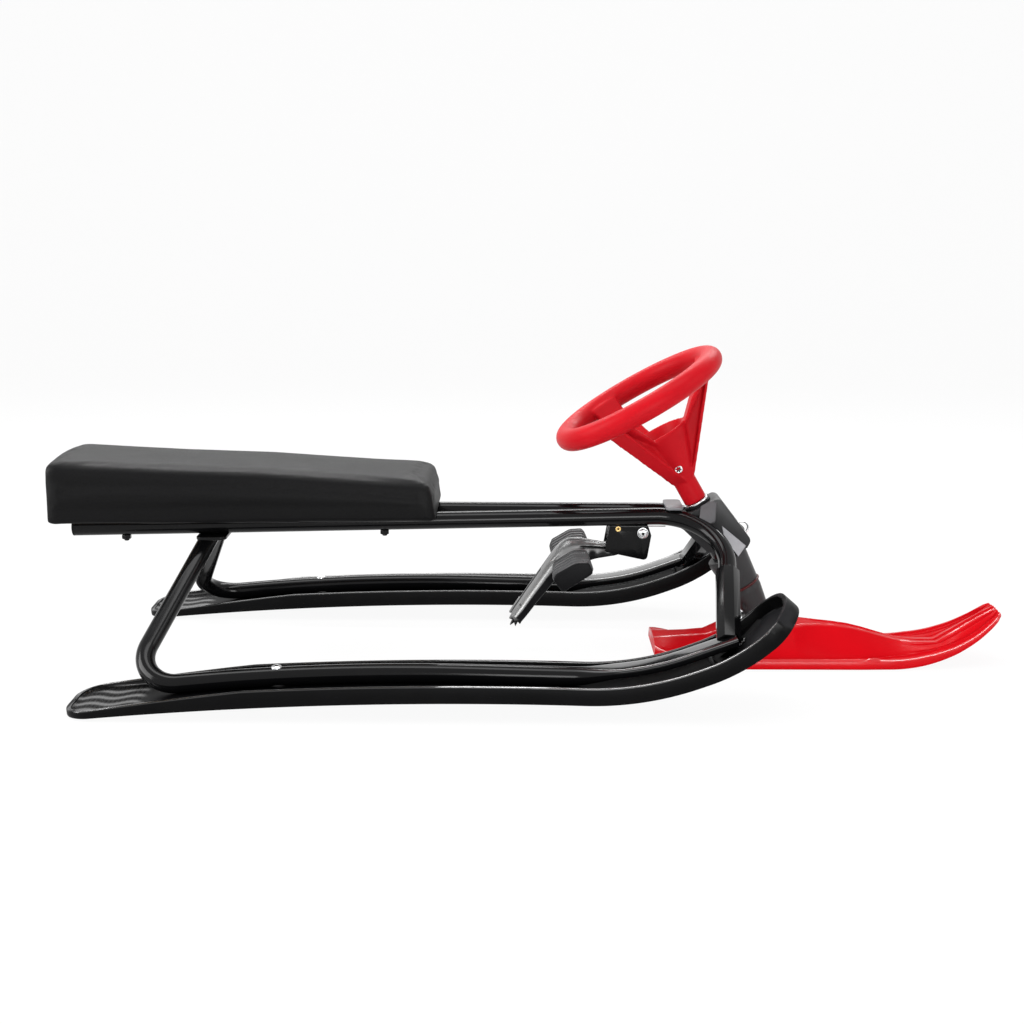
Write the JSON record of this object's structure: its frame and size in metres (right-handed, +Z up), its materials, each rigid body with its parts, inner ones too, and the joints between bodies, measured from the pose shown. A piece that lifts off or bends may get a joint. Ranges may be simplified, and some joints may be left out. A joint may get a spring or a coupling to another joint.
{
  "type": "steering sled",
  "caption": "Steering sled with a padded seat on a bent tube frame, fixed black rear skis, a steered red front ski under a red wheel and a claw brake with pedals.",
  "frame": {"origin": "on the ground, below the middle of the sled's bounding box", "axes": "+X forward to the tip of the front ski, +Y to the rider's left, +Z up"},
  "size_m": [1.154, 0.5, 0.3868],
  "materials": {
    "frame_paint": "gloss",
    "head_paint": "satin",
    "ski_plastic": "gloss",
    "seat_vinyl": "satin",
    "seat_wood": "matte",
    "red_plastic": "gloss",
    "wheel_plastic": "satin",
    "zinc_steel": "bright zinc",
    "spring_steel": "satin",
    "brass": "satin",
    "brake_plastic": "gloss",
    "pedal_rubber": "matte",
    "cap_plastic": "matte",
    "stem_plastic": "satin",
    "bush_nylon": "satin"
  },
  "bodies": {
    "frame": {"main_tube_right": "frame_paint", "main_tube_left": "frame_paint", "tube_end_plugs": "cap_plastic", "front_post_right": "frame_paint", "front_post_left": "frame_paint", "ski_tube_right": "frame_paint", "ski_tube_left": "frame_paint", "rear_ski_right": "ski_plastic", "rear_ski_left": "ski_plastic", "ski_bolts": "zinc_steel", "ski_nuts": "zinc_steel", "ski_screws": "zinc_steel", "rear_cross_plate": "frame_paint", "seat_board": "seat_wood", "seat_cushion": "seat_vinyl", "seat_bolts": "frame_paint", "seat_nuts": "frame_paint", "head_bracket": "head_paint", "head_tube": "frame_paint", "head_gusset_right": "head_paint", "head_gusset_left": "head_paint", "tie_plate": "head_paint", "head_bush_upper": "bush_nylon", "head_bush_lower": "bush_nylon", "tow_eye": "zinc_steel", "brake_bracket": "frame_paint", "brake_bolt": "zinc_steel", "brake_washers": "zinc_steel", "brake_nut": "zinc_steel", "stop_rivet": "brass", "brake_spring": "spring_steel"},
    "steering": {"steering_wheel": "wheel_plastic", "wheel_bolt": "zinc_steel", "wheel_nut": "zinc_steel", "steering_shaft": "zinc_steel", "shaft_washer": "zinc_steel", "steering_stem": "stem_plastic", "ski_socket": "stem_plastic", "socket_screws": "zinc_steel", "front_ski": "red_plastic"},
    "brake": {"brake_lever": "brake_plastic", "brake_sleeve": "spring_steel", "pedal_bar": "zinc_steel", "brake_pedal_right": "pedal_rubber", "brake_pedal_left": "pedal_rubber", "pedal_cap_right": "cap_plastic", "pedal_cap_left": "cap_plastic"}
  },
  "joints": [
    {"name": "steering_turn", "type": "hinge", "parent": "frame", "child": "steering", "pos_m": [0.3143, 0, 0], "axis": [-0.5, 0, 0.866], "range_deg": [-35, 35]},
    {"name": "brake_press", "type": "hinge", "parent": "frame", "child": "brake", "pos_m": [0.1345, 0, 0.161], "axis": [0, -1, 0], "range_deg": [0, 15], "stiffness_Nm_per_rad": 3, "springref_deg": -34.38, "deforming": ["brake_spring"]}
  ]
}
